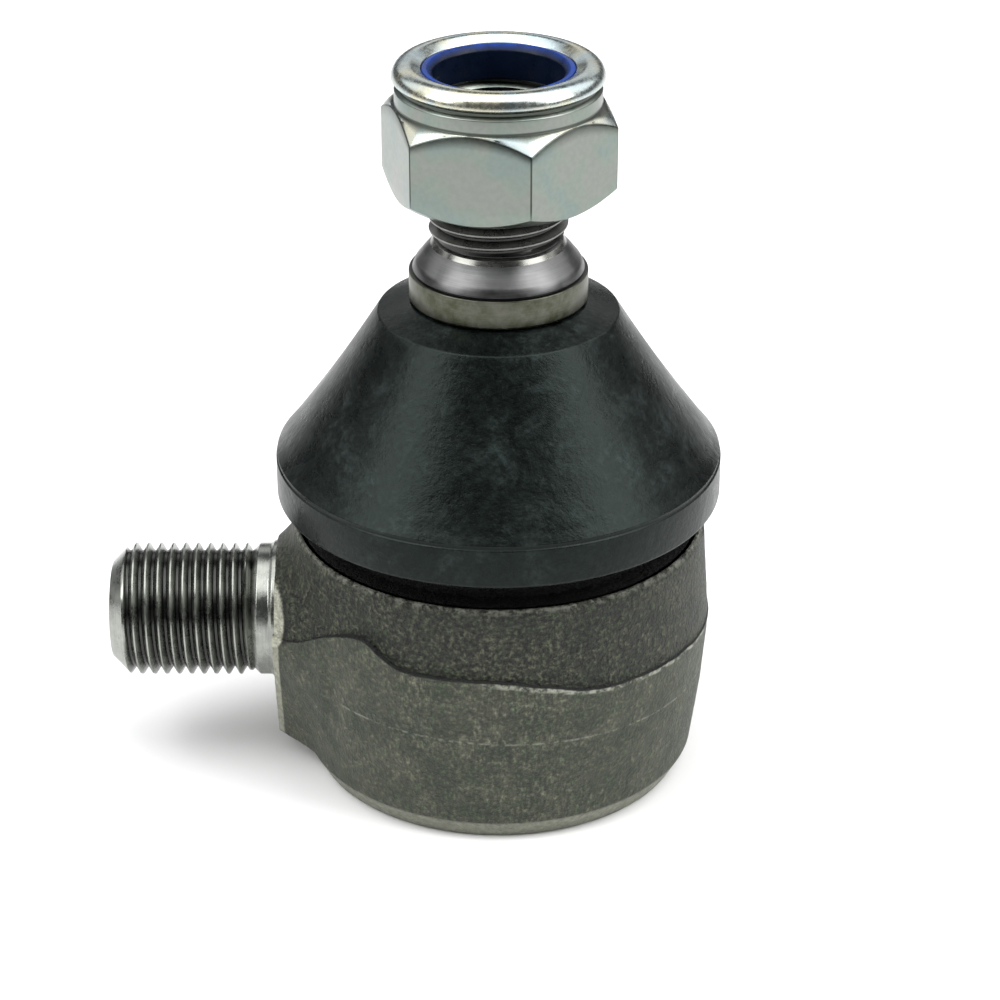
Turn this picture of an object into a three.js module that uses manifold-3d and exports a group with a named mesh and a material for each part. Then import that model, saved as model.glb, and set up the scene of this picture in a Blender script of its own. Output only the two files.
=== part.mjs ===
// Tie rod end: a forged housing with a threaded shank, a ball stud in bearing seats,
// a dust boot and a nylon-insert lock nut.
// Millimetres. +Z runs up the stud, the shank points along -X, and the origin is the
// centre of the bottom face, below the ball.
import * as THREE from "three";
import { mergeVertices } from "three/addons/utils/BufferGeometryUtils.js";
import Module from "manifold-3d";

// Driving dimensions
const GAP = 0.3; // clearance between neighbouring pieces
const BALL_Z = 18.4; // height of the ball centre and of the shank axis
const BALL_R = 13.5;
const SEAT_R = BALL_R + GAP; // spherical inside of the bearing seats
const BORE_R = 16.3; // housing bore and its domed upper end
const BODY_R = 25.6; // forging radius at its parting line
const PARTING_Z = 20.6;
const SHOULDER_Z = 31.5; // top of the forging, around the neck
const NECK_R = 21.0;
const NECK_TOP_Z = 39.0;
const THROAT_R = 12.6;
const FLARE_R = 16.7; // mouth of the opening above the ball

const BOSS_X = -27.0; // flat face that the shank leaves
const SHANK_END_X = -46.7;
const THREAD_INNER_X = -29.4; // where the shank thread runs out

const PITCH = 1.5; // M16 x 1.5 on the shank and on the stud
const THREAD_R = 8.0;
const THREAD_DEPTH = 0.92;
const ROOT_R = THREAD_R - THREAD_DEPTH;
const CREST_FLAT = 0.2;
const ROD_END_R = 5.9; // end faces of the shank and of the stud, inside their chamfers
const NUT_CLEARANCE = 0.25; // radial play of the nut on the stud

const BOOT_BOTTOM_Z = 35.3;
const BOOT_EDGE_Z = 40.5;
const BOOT_R = 26.3;
const BOOT_TOP_Z = 58.2;
const BOOT_TOP_R = 14.0;
const BASE_RING = { inner: 23.2, outer: 24.6, bottom: 35.6, top: 38.9 }; // in the boot's foot
const TOP_RING = { inner: 9.65, outer: 11.0, bottom: 55.6, top: 58.2 }; // in the boot's top lip

const SEAL_R = 9.0; // plain stretch of the stud inside the boot's top lip
const COLLAR_R = 10.35;
const COLLAR_Z = [60.05, 63.25];
const CONE = [[9.94, 63.5], [9.6, 64.3], [8.55, 65.6], [7.8, 66.4]]; // radius, height of its bulged side
const STUD_THREAD_Z = 68.2;
const STUD_END_Z = 82.9;

const NUT_Z = 72.7; // bearing face of the nut
const NUT_FLATS = 24.0;
const NUT_CORNER_R = NUT_FLATS / Math.sqrt(3);
const CROWN_R = 11.95;
const HEX_TOP_Z = 83.3;
const NUT_TURN = 15; // degrees from -Y towards +X of a corner of the hexagon
const INSERT_Z = [83.25, 86.9];
const INSERT_R = [7.45, 10.1];

const BODY_FACES = 48; // facets around the forging and the boot
const STUD_FACES = 36;
const INNER_FACES = 24; // facets around hidden rings
const THREAD_FACES = 16;

const wasm = await Module();
wasm.setup();

// Points of an arc in an outline, from one angle to another in degrees.
function arc(centreR, centreZ, radius, from, to, steps) {
  return Array.from({ length: steps + 1 }, (_, i) => {
    const a = THREE.MathUtils.degToRad(from + ((to - from) * i) / steps);
    return [centreR + radius * Math.cos(a), centreZ + radius * Math.sin(a)];
  });
}

// Angle in degrees, seen from the ball centre, of the point of a sphere at a given radius from Z.
function latitude(sphereR, r) {
  return THREE.MathUtils.radToDeg(Math.acos(r / sphereR));
}

// A closed three.js geometry as a solid that can be joined and cut.
function solid(geometry) {
  geometry.deleteAttribute("normal");
  geometry.deleteAttribute("uv");
  const merged = mergeVertices(geometry, 1e-4);
  return new wasm.Manifold(
    new wasm.Mesh({
      numProp: 3,
      vertProperties: merged.attributes.position.array,
      triVerts: new Uint32Array(merged.index.array),
    }),
  );
}

// Solid of revolution about Z from an outline of [radius, height] points, listed
// counter-clockwise. An outline that leaves the axis free closes on itself as a ring.
function turned(outline, faces) {
  const points = outline.map(([r, z]) => new THREE.Vector2(r, z));
  if (outline[0][0] > 0) points.push(points[0].clone());
  return solid(new THREE.LatheGeometry(points, faces).rotateX(Math.PI / 2));
}

// A helix whose section frame stays radial and upright, as a thread's does.
class ThreadHelix extends THREE.Curve {
  constructor(radius, turns) {
    super();
    this.radius = radius;
    this.turns = turns;
  }
  getPoint(t, target = new THREE.Vector3()) {
    const a = 2 * Math.PI * this.turns * t;
    return target.set(this.radius * Math.cos(a), this.radius * Math.sin(a), PITCH * this.turns * t);
  }
  computeFrenetFrames(steps) {
    const frames = { tangents: [], normals: [], binormals: [] };
    for (let i = 0; i <= steps; i++) {
      const a = (2 * Math.PI * this.turns * i) / steps;
      frames.tangents.push(new THREE.Vector3(-Math.sin(a), Math.cos(a), 0));
      frames.normals.push(new THREE.Vector3(Math.cos(a), Math.sin(a), 0));
      frames.binormals.push(new THREE.Vector3(0, 0, -1));
    }
    return frames;
  }
}

// The 60 degree ridge of the thread, rising from a height that is a whole number of pitches
// above the first turn of the stud, so that any two ridges about one axis are in phase.
function threadRidge(startTurn, turns, play = 0) {
  const sink = 0.15; // the ridge's foot goes this far into the core
  const root = ROOT_R + play;
  const crestHalf = CREST_FLAT / 2;
  const rootHalf = crestHalf + THREAD_DEPTH * Math.tan(Math.PI / 6);
  const section = new THREE.Shape([
    new THREE.Vector2(-sink, -rootHalf),
    new THREE.Vector2(0, -rootHalf),
    new THREE.Vector2(THREAD_DEPTH, -crestHalf),
    new THREE.Vector2(THREAD_DEPTH, crestHalf),
    new THREE.Vector2(0, rootHalf),
    new THREE.Vector2(-sink, rootHalf),
  ]);
  const ridge = new THREE.ExtrudeGeometry(section, {
    steps: turns * THREAD_FACES,
    extrudePath: new ThreadHelix(root, turns),
  });
  return solid(ridge.translate(0, 0, startTurn * PITCH));
}

// Externally threaded rod about Z, chamfered at its far end.
function threadedRod(from, to, startTurn, turns) {
  const crestR = THREAD_R + 0.05;
  const runOut = 0.9;
  const rod = turned(
    [
      [0, from],
      [ROOT_R, from],
      [ROOT_R, to + ROD_END_R - ROOT_R],
      [ROD_END_R, to],
      [0, to],
    ],
    THREAD_FACES,
  );
  const envelope = turned(
    [
      [0, from],
      [ROOT_R, from],
      [crestR, from + runOut],
      [crestR, to + ROD_END_R - THREAD_R],
      [ROD_END_R, to],
      [0, to],
    ],
    THREAD_FACES,
  );
  return rod.add(threadRidge(startTurn, turns).intersect(envelope));
}

// Turns the outline's +Z into -X, about the shank axis.
function alongShank(piece) {
  return piece.rotate([0, -90, 0]).translate([0, 0, BALL_Z]);
}

// Forging: bored and flared body, neck for the boot, boss and threaded shank.
function housing() {
  const plateSeatR = 21.3;
  const plateSeatZ = 3.5;
  const sealGroove = { inner: 18.2, outer: 20.2, top: 5.1 };
  const lip = { inner: 18.8, outer: 22.2, top: 1.1 };
  const bootGrooveR = NECK_R - 0.9;
  const body = turned(
    [
      [lip.inner, 0],
      [lip.outer, 0],
      [BODY_R - 1.9, 2.7],
      [BODY_R - 0.8, 11.0],
      [BODY_R, PARTING_Z],
      [BODY_R - 0.3, PARTING_Z + 0.6],
      [BODY_R - 0.9, SHOULDER_Z - 0.6],
      [BODY_R - 1.5, SHOULDER_Z],
      [NECK_R, SHOULDER_Z],
      [NECK_R, 35.7],
      [bootGrooveR, 36.2],
      [bootGrooveR, 37.7],
      [NECK_R, 38.2],
      [NECK_R, NECK_TOP_Z],
      [FLARE_R, NECK_TOP_Z],
      ...arc(0, BALL_Z, BORE_R, latitude(BORE_R, THROAT_R), 0, 5),
      [BORE_R, plateSeatZ],
      [sealGroove.inner, plateSeatZ],
      [sealGroove.inner, sealGroove.top],
      [sealGroove.outer, sealGroove.top],
      [sealGroove.outer, plateSeatZ],
      [plateSeatR, plateSeatZ],
      [plateSeatR, lip.top],
      [lip.inner, lip.top],
    ],
    BODY_FACES,
  );
  const landStart = 20; // inside the wall
  const landEnd = -THREAD_INNER_X;
  const land = turned(
    [
      [0, landStart],
      [THREAD_R, landStart],
      [THREAD_R, landEnd],
      [ROOT_R, landEnd + 0.5],
      [0, landEnd + 0.5],
    ],
    THREAD_FACES,
  );
  const thread = threadedRod(landEnd, -SHANK_END_X, 18, 14);
  return body.add(boss()).add(alongShank(land.add(thread)));
}

// Boss of the shank: round about the shank axis, with a keel down to the edge of the body.
// Its sides flare at 45 degrees from the flat face into the round of the body.
function boss() {
  const faceR = 8.9;
  const keelHalf = 0.5;
  const keelDrop = 22; // how far the keel's outline runs below the shank axis before it is trimmed
  const flare = 6.4;
  const bottom = 2.9;
  const top = 30.9;
  const reach = 5.2; // depth of the block, which stops inside the wall of the body
  const lean = Math.atan2(keelHalf, keelDrop) + Math.acos(faceR / Math.hypot(keelHalf, keelDrop));
  const outline = new THREE.Shape();
  outline.moveTo(-keelHalf, -keelDrop);
  outline.lineTo(keelHalf, -keelDrop);
  outline.absarc(0, 0, faceR, lean - Math.PI / 2, (3 * Math.PI) / 2 - lean, false);
  const block = new THREE.ExtrudeGeometry(outline, {
    depth: flare,
    bevelThickness: flare,
    bevelSize: flare,
    bevelSegments: 1,
    curveSegments: 16,
  });
  block.rotateX(Math.PI / 2).rotateZ(-Math.PI / 2);
  const trim = new THREE.BoxGeometry(reach, 2 * BODY_R, top - bottom);
  trim.translate(BOSS_X + reach / 2, 0, (top + bottom) / 2);
  block.translate(BOSS_X + 2 * flare, 0, BALL_Z);
  return solid(block).intersect(solid(trim));
}

// Ball stud, one piece: ball, neck, collar, cone, undercut and thread.
function ballStud() {
  const flatZ = BALL_Z - 13.2; // small flat under the ball
  const neckR = 6.9;
  const flatR = Math.sqrt(BALL_R ** 2 - (BALL_Z - flatZ) ** 2);
  const collarBottom = COLLAR_Z[0] - 0.3;
  const undercutTop = STUD_THREAD_Z - 0.6;
  const stud = turned(
    [
      [0, flatZ],
      ...arc(0, BALL_Z, BALL_R, -latitude(BALL_R, flatR), latitude(BALL_R, neckR), 10),
      [neckR, 41],
      [SEAL_R, 51],
      [SEAL_R, collarBottom],
      [COLLAR_R - 0.3, collarBottom],
      [COLLAR_R, COLLAR_Z[0]],
      [COLLAR_R, COLLAR_Z[1]],
      ...CONE,
      [ROOT_R, CONE.at(-1)[1] + 0.3],
      [ROOT_R, undercutTop],
      [0, undercutTop],
    ],
    STUD_FACES,
  );
  return stud.add(threadedRod(undercutTop - 0.3, STUD_END_Z, 43, 14));
}

// Bearing seat ring below or above the equator of the ball.
function lowerSeat() {
  const innerR = 8.3;
  const bottom = 4.8;
  return turned(
    [
      [innerR, bottom],
      [BORE_R - GAP, bottom],
      [BORE_R - GAP, BALL_Z - 0.4],
      ...arc(0, BALL_Z, SEAT_R, -2, -latitude(SEAT_R, innerR), 6),
    ],
    INNER_FACES,
  );
}

function upperSeat() {
  const equator = 2; // degrees
  const top = 7.6; // above the ball centre
  const outerR = BORE_R - GAP;
  const latitudeAt = (r) => THREE.MathUtils.radToDeg(Math.asin(top / r));
  return turned(
    [
      ...arc(0, BALL_Z, outerR, equator, latitudeAt(outerR), 4),
      ...arc(0, BALL_Z, SEAT_R, latitudeAt(SEAT_R), equator, 4),
    ],
    INNER_FACES,
  );
}

// Conical disc spring that presses the lower seat against the ball.
function discSpring() {
  const thickness = 1.0;
  return turned(
    [
      [7.5, 3.4],
      [14.2, 2.2],
      [14.2, 2.2 + thickness],
      [7.5, 3.4 + thickness],
    ],
    INNER_FACES,
  );
}

// Pressed cover: a flange held by the housing's rolled lip, and a centre level with the lip.
function closingPlate() {
  return turned(
    [
      [0, 0],
      [16.2, 0],
      [17.2, 1.4],
      [21.0, 1.4],
      [21.0, 3.2],
      [16.0, 3.2],
      [14.9, 1.9],
      [0, 1.9],
    ],
    STUD_FACES,
  );
}

function sealRing() {
  const cord = 0.65;
  return turned(arc(19.2, 4.2, cord, 0, 315, 7), INNER_FACES);
}

// Steel band in the foot of the boot, in a slot that is open below.
function bootBaseRing() {
  return turned(
    [
      [BASE_RING.inner, BASE_RING.bottom],
      [BASE_RING.outer, BASE_RING.bottom],
      [BASE_RING.outer, BASE_RING.top],
      [BASE_RING.inner, BASE_RING.top],
    ],
    STUD_FACES,
  );
}

// Rubber boot: foot that grips the neck, slightly hollow cone, and lip that seals on the stud.
function dustBoot() {
  const wall = 2.8;
  const sag = 0.35; // how far the cone's outline bends inwards
  const lip = { r: SEAL_R + 0.35, bottom: 54.4, top: COLLAR_Z[0] - 0.6 };
  const ringGrooveR = TOP_RING.outer + GAP;
  const heel = { r: 21.3, beadR: 20.4, top: 39.6 }; // inside of the foot, with a bead for the neck's groove
  const cone = (t, offset, bend) => [
    THREE.MathUtils.lerp(BOOT_R - 0.1, BOOT_TOP_R, t) - offset - bend * Math.sin(Math.PI * t),
    THREE.MathUtils.lerp(BOOT_EDGE_Z, BOOT_TOP_Z, t),
  ];
  const outer = [0, 0.25, 0.5, 0.75, 1].map((t) => cone(t, 0, sag));
  const inner = [0.72, 0.48, 0.24, 0].map((t) => cone(t, wall, sag));
  return turned(
    [
      [BASE_RING.outer + GAP, BOOT_BOTTOM_Z],
      [BOOT_R - 0.3, BOOT_BOTTOM_Z],
      [BOOT_R, BOOT_BOTTOM_Z + 0.5],
      ...outer,
      [BOOT_TOP_R - 0.7, BOOT_TOP_Z + 0.5],
      [lip.r, lip.top],
      [lip.r, TOP_RING.top + GAP],
      [ringGrooveR, TOP_RING.top + GAP],
      [ringGrooveR, TOP_RING.bottom - GAP],
      [lip.r, TOP_RING.bottom - GAP],
      [lip.r, lip.bottom],
      ...inner,
      [heel.r, heel.top],
      [heel.r, 38.3],
      [heel.beadR, 37.6],
      [heel.beadR, 36.3],
      [heel.r, 35.8],
      [heel.r, BOOT_BOTTOM_Z],
      [BASE_RING.inner - GAP, BOOT_BOTTOM_Z],
      [BASE_RING.inner - GAP, BASE_RING.top + GAP],
      [BASE_RING.outer + GAP, BASE_RING.top + GAP],
    ],
    BODY_FACES,
  );
}

// Steel ring in the groove inside the boot's top lip.
function bootTopRing() {
  return turned(
    [
      [TOP_RING.inner, TOP_RING.bottom],
      [TOP_RING.outer, TOP_RING.bottom],
      [TOP_RING.outer, TOP_RING.top],
      [TOP_RING.inner, TOP_RING.top],
    ],
    INNER_FACES,
  );
}

// Hexagon nut with a crimped crown over the insert's pocket, threaded bore below.
function lockNut() {
  const hexagon = new THREE.CylinderGeometry(NUT_CORNER_R, NUT_CORNER_R, HEX_TOP_Z - NUT_Z, 6);
  hexagon.rotateX(Math.PI / 2).rotateZ(THREE.MathUtils.degToRad(NUT_TURN));
  const hex = solid(hexagon.translate(0, 0, (HEX_TOP_Z + NUT_Z) / 2));
  const chamfers = turned(
    [
      [0, NUT_Z],
      [11.8, NUT_Z],
      [NUT_CORNER_R + 0.05, NUT_Z + 1.5],
      [NUT_CORNER_R + 0.05, HEX_TOP_Z - 1.8],
      [CROWN_R, HEX_TOP_Z],
      [0, HEX_TOP_Z],
    ],
    STUD_FACES,
  );
  const rollR = 1.8; // roll of the crimped rim
  const rollZ = 86.2;
  const mouthR = 8.6;
  const crown = turned(
    [
      [0, HEX_TOP_Z - 2],
      [CROWN_R - 0.1, HEX_TOP_Z - 2],
      [CROWN_R - 0.1, rollZ - 0.7],
      ...arc(CROWN_R - rollR, rollZ, rollR, -15, 90, 5),
      [mouthR + 0.4, rollZ + rollR - 0.2],
      [mouthR, rollZ + rollR - 0.5],
      [0, rollZ + rollR - 0.5],
    ],
    STUD_FACES,
  );
  const bore = ROOT_R + NUT_CLEARANCE;
  const pocketR = INSERT_R[1] + GAP;
  const pocket = turned(
    [
      [0, INSERT_Z[0] - GAP],
      [pocketR, INSERT_Z[0] - GAP],
      [pocketR, INSERT_Z[1] + 0.2],
      [mouthR, INSERT_Z[1] + 0.4],
      [mouthR, rollZ + rollR],
      [0, rollZ + rollR],
    ],
    STUD_FACES,
  );
  const tapping = turned(
    [
      [0, NUT_Z - 1],
      [THREAD_R + 1.5, NUT_Z - 1],
      [bore, NUT_Z + 1.2],
      [bore, INSERT_Z[0] - 1],
      [THREAD_R + 0.3, INSERT_Z[0]],
      [0, INSERT_Z[0]],
    ],
    THREAD_FACES,
  );
  const thread = threadRidge(47, 9, NUT_CLEARANCE);
  return hex.intersect(chamfers).add(crown).subtract(pocket).subtract(tapping).subtract(thread);
}

function nylonInsert() {
  return turned(
    [
      [INSERT_R[0], INSERT_Z[0]],
      [INSERT_R[1], INSERT_Z[0]],
      [INSERT_R[1], INSERT_Z[1]],
      [INSERT_R[0] + 0.3, INSERT_Z[1]],
      [INSERT_R[0], INSERT_Z[1] - 0.3],
    ],
    STUD_FACES,
  );
}

const FORGING = { color: 0x55584f, roughness: 0.6, metalness: 0.6 };
const BRIGHT_STEEL = { color: 0x9a9d98, roughness: 0.3, metalness: 1.0 };
const SPRING_STEEL = { color: 0x6f7276, roughness: 0.35, metalness: 1.0 };
const ZINC = { color: 0xaeb6b2, roughness: 0.3, metalness: 1.0 };
const RUBBER = { color: 0x2b302e, roughness: 0.75, metalness: 0.0 };
const SEAT_PLASTIC = { color: 0xd8d4c8, roughness: 0.5, metalness: 0.0 };
const BLUE_NYLON = { color: 0x1b3fd6, roughness: 0.4, metalness: 0.0 };

const group = new THREE.Group();

function place(name, piece, material) {
  const { numProp, vertProperties, triVerts } = piece.getMesh();
  const geometry = new THREE.BufferGeometry();
  geometry.setAttribute("position", new THREE.BufferAttribute(vertProperties, numProp));
  geometry.setIndex(new THREE.BufferAttribute(triVerts, 1));
  geometry.computeVertexNormals();
  const mesh = new THREE.Mesh(geometry, new THREE.MeshStandardMaterial(material));
  mesh.name = name;
  group.add(mesh);
}

place("housing", housing(), FORGING);
place("upper_bearing_seat", upperSeat(), SEAT_PLASTIC);
place("lower_bearing_seat", lowerSeat(), SEAT_PLASTIC);
place("preload_spring", discSpring(), SPRING_STEEL);
place("closing_plate", closingPlate(), BRIGHT_STEEL);
place("plate_seal_ring", sealRing(), RUBBER);
place("boot_base_ring", bootBaseRing(), SPRING_STEEL);
place("dust_boot", dustBoot(), RUBBER);
place("boot_top_ring", bootTopRing(), SPRING_STEEL);
place("ball_stud", ballStud(), BRIGHT_STEEL);
place("nylon_insert", nylonInsert(), BLUE_NYLON);
place("lock_nut", lockNut(), ZINC);

export default group;
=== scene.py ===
"""Looks of a tie rod end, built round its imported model.

Shapes are worked out in millimetres in the model's own frame (+Z up the stud, the shank
along -X) and turned into metres when a mesh is made.
"""

import math

import bmesh
import bpy
import numpy as np
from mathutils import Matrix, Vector, noise


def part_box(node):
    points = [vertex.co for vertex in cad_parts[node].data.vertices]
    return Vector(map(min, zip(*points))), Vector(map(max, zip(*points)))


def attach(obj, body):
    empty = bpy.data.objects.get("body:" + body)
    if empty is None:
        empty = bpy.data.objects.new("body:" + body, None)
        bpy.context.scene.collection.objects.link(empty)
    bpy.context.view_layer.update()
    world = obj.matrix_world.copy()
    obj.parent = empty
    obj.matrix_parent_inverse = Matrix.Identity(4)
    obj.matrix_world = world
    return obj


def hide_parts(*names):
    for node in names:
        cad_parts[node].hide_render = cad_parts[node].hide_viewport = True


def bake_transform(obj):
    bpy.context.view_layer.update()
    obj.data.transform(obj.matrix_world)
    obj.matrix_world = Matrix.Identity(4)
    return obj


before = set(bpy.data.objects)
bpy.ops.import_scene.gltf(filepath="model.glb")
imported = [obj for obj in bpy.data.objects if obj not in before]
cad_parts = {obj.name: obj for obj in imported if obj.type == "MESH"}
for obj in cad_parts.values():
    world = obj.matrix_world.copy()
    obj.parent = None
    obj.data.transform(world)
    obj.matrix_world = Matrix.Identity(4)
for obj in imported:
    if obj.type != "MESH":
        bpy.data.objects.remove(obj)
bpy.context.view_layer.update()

MM = 0.001
TURN = 2 * math.pi


def extent(node):
    """Lowest and highest corner of a CAD node, in millimetres."""
    low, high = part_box(node)
    return np.array(low) / MM, np.array(high) / MM


housing_low, housing_high = extent("housing")
boot_low, boot_high = extent("dust_boot")
stud_low, stud_high = extent("ball_stud")
nut_low, nut_high = extent("lock_nut")
insert_low, insert_high = extent("nylon_insert")

BALL_Z = 18.4  # ball centre and shank axis
BALL_R = 13.5
BODY_R = housing_high[1]
RIM_Z = 2.7  # edge between the body and its rolled lip
SHOULDER_Z = 31.5
NECK_TOP_Z = housing_high[2]
NECK_R = 21.0
BORE_R = 16.3
SHOULDER_FLAT_R = 24.0  # on the flat between the shoulder and the neck
BOSS_X = -27.0  # flat face at the root of the shank
SHANK_END = -housing_low[0]
LAND_END = 29.4  # where the plain land of the shank gives way to thread

PITCH = 1.5
CREST_R = 8.0
ROOT_R = 7.08
END_R = 5.9  # end faces of the shank and of the stud
SHANK_PHASE = 0.27  # turns by which the shank's thread is set round
THREAD_COLUMNS = 72

LARGE_COLUMNS = 192  # round the stud and the boot
SMALL_COLUMNS = 144  # round the shank's land, the insert and the plate

SEAL_R = 9.0  # part of the stud that the boot's lip grips
BOOT_EDGE_Z = 40.5  # where the boot's cone starts
BOOT_FOLD_Z = 48.0  # where its two halves meet
BOOT_LIP_Z = 55.3  # underside of the lip round the stud
COLLAR_R = 10.35
COLLAR_LOW, COLLAR_HIGH = 60.05, 63.25
# The bulged cone above the collar, as (radius, height, fillet).
CONE = ((9.94, 63.5, 0.05), (9.6, 64.3, 2.0), (8.55, 65.6, 2.0), (7.8, 66.4, 0.3))
CONE_TOP = CONE[-1][1]
STUD_THREAD_Z = 68.2

FLATS_R = 12.0  # centre of the nut to a flat
NUT_TURN = 15.0
CROWN_R = 11.95
SLEEVE_R = 8.3  # bore of the nut's shell, which holds its threaded sleeve


# ---------------------------------------------------------------- mesh tools


def rounded(outline, steps=4):
    """Points of an outline whose corners are (radius, height) or (radius, height, fillet)."""
    corners = [np.array(c[:2], float) for c in outline]
    points = []
    for i, corner in enumerate(corners):
        fillet = outline[i][2] if len(outline[i]) > 2 else 0
        if not fillet:
            points.append(corner)
            continue
        back = corners[i - 1] - corner
        ahead = corners[(i + 1) % len(corners)] - corner
        back /= np.linalg.norm(back)
        ahead /= np.linalg.norm(ahead)
        half = 0.5 * math.acos(np.clip(back @ ahead, -1, 1))
        bisector = (back + ahead) / np.linalg.norm(back + ahead)
        centre = corner + bisector * fillet / math.sin(half)
        start = corner + back * fillet / math.tan(half) - centre
        end = corner + ahead * fillet / math.tan(half) - centre
        first = math.atan2(start[1], start[0])
        sweep = (math.atan2(end[1], end[0]) - first + math.pi) % TURN - math.pi
        for k in range(steps + 1):
            a = first + sweep * k / steps
            points.append(centre + fillet * np.array([math.cos(a), math.sin(a)]))
    return points


def arc(centre_r, centre_z, radius, start, stop, steps):
    """Points of a circular stretch of an outline, between two angles in degrees."""
    angles = np.radians(np.linspace(start, stop, steps + 1))
    return [(centre_r + radius * math.cos(a), centre_z + radius * math.sin(a)) for a in angles]


def circle(segments):
    return np.arange(segments) * TURN / segments


def ring(radius, height, angles):
    """One row of points about Z. Radius and height may vary with the angle."""
    r = np.broadcast_to(radius, angles.shape)
    z = np.broadcast_to(height, angles.shape)
    return np.stack([r * np.cos(angles), r * np.sin(angles), z], 1)


def strips(rows, columns, closed):
    """Faces between neighbouring rows of a grid that wraps round its columns."""
    faces = []
    for i in range(rows if closed else rows - 1):
        a, b = i * columns, (i + 1) % rows * columns
        for j in range(columns):
            k = (j + 1) % columns
            faces.append((a + j, a + k, b + k, b + j))
    return faces


def shaded(name, mesh, sharp=35):
    """An object of a mesh, smooth but for edges sharper than an angle in degrees."""
    mesh.shade_smooth()
    mesh.set_sharp_from_angle(angle=math.radians(sharp))
    made = bpy.data.objects.new(name, mesh)
    bpy.context.collection.objects.link(made)
    return made


def make_object(name, points, faces, sharp=35, marks=None):
    """A shaded object from points in millimetres. Marks are named values, one per point."""
    mesh = bpy.data.meshes.new(name)
    mesh.from_pydata((np.asarray(points) * MM).tolist(), [], faces)
    for mark, values in (marks or {}).items():
        layer = mesh.attributes.new(mark, "FLOAT", "POINT")
        layer.data.foreach_set("value", np.asarray(values, np.float32))
    bm = bmesh.new()
    bm.from_mesh(mesh)
    bmesh.ops.remove_doubles(bm, verts=bm.verts, dist=1e-6)
    bmesh.ops.dissolve_degenerate(bm, edges=bm.edges, dist=1e-7)
    bmesh.ops.recalc_face_normals(bm, faces=bm.faces)
    bm.to_mesh(mesh)
    bm.free()
    return shaded(name, mesh, sharp)


def paint(piece, name, rule):
    """Marks an object's points by a rule on their positions in millimetres."""
    points = np.array([v.co for v in piece.data.vertices]) / MM
    layer = piece.data.attributes.new(name, "FLOAT", "POINT")
    layer.data.foreach_set("value", rule(points).astype(np.float32))


def loft(name, rows, closed=False, **options):
    points = np.concatenate(rows)
    return make_object(name, points, strips(len(rows), len(rows[0]), closed), **options)


def turned(name, outline, segments, **options):
    """A solid of revolution: a ring where the outline is off the axis, or a solid about it."""
    angles = circle(segments)
    rows = [ring(r, z, angles) for r, z in outline]
    return loft(name, rows, closed=outline[0][0] > 0, **options)


def joined(name, pieces):
    """Several objects as one, with their shared edges welded."""
    bm = bmesh.new()
    for piece in pieces:
        bm.from_mesh(piece.data)
        bpy.data.objects.remove(piece)
    bmesh.ops.remove_doubles(bm, verts=bm.verts, dist=1e-6)
    bmesh.ops.recalc_face_normals(bm, faces=bm.faces)
    mesh = bpy.data.meshes.new(name)
    bm.to_mesh(mesh)
    bm.free()
    return shaded(name, mesh)


def smooth_step(low, high, value):
    t = np.clip((value - low) / (high - low), 0, 1)
    return t * t * (3 - 2 * t)


def smooth_max(a, b, blend):
    """The larger of two surfaces, with a fillet where they meet."""
    h = np.clip(0.5 + 0.5 * (a - b) / blend, 0, 1)
    return b + (a - b) * h + blend * h * (1 - h)


def roughness_at(points, size, octaves=3):
    """Fractal noise of about -1 to 1 at each point, with features of a size in millimetres."""
    return np.array([noise.fractal(Vector(p), 0.8, 2.1, octaves) for p in points / size])


# ---------------------------------------------------------------- thread


def thread_points(low, high, low_r, high_r, phase=0.0, play=0.0, inner=False):
    """Helical surface between two heights, in rows that climb one pitch a turn.

    Its ends run out to flat circles of radius low_r and high_r. A crest stands at a height of
    a whole number of pitches, plus its share of a turn, so all threads with one phase mesh.
    """
    segments = THREAD_COLUMNS
    root, crest = ROOT_R + play, CREST_R + play
    # One ridge and one groove, as (share of a pitch, radius).
    form = [(0.0, crest), (0.06, crest), (0.24, (root + crest) / 2), (0.41, root + 0.03)]
    form += [(0.5, root), (0.59, root + 0.03), (0.76, (root + crest) / 2), (0.94, crest)]
    first, last = math.floor(low / PITCH) - 3, math.ceil(high / PITCH) + 3
    fractions = [(turn + share, r) for turn in range(first, last) for share, r in form]
    columns = np.arange(segments)
    angles = circle(segments)
    rows = []
    for position, r in fractions:
        z = (position + phase + columns / segments) * PITCH
        if inner:
            limit = np.maximum(low_r - (z - low), high_r - (high - z))
            radius = np.maximum(r, limit)
        else:
            limit = np.minimum(low_r + (z - low), high_r + (high - z))
            radius = np.minimum(r, np.maximum(limit, ROOT_R - 1.2))
        radius = np.where(z <= low, low_r, np.where(z >= high, high_r, radius))
        rows.append(ring(radius, np.clip(z, low, high), angles))
    faces = []
    per_turn = len(form)
    for i in range(len(rows) - 1):
        for j in range(segments):
            if j < segments - 1:
                a, b, c, d = (i, j), (i, j + 1), (i + 1, j + 1), (i + 1, j)
            elif i + per_turn + 1 < len(rows):
                a, b, c, d = (i, j), (i + per_turn, 0), (i + per_turn + 1, 0), (i + 1, j)
            else:
                continue
            faces.append(tuple(row * segments + column for row, column in (a, b, c, d)))
    return np.concatenate(rows), faces


def thread_depth(points, low, high):
    """How far each point lies down the thread, from 0 on its crest to 1 in its root."""
    out = np.hypot(points[:, 0], points[:, 1])
    crest = np.minimum(CREST_R, END_R + high - points[:, 2])
    down = (crest - out) / (CREST_R - ROOT_R)
    return np.clip(down, 0, 1) * (points[:, 2] > low) * (points[:, 2] < high - 0.05)


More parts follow.
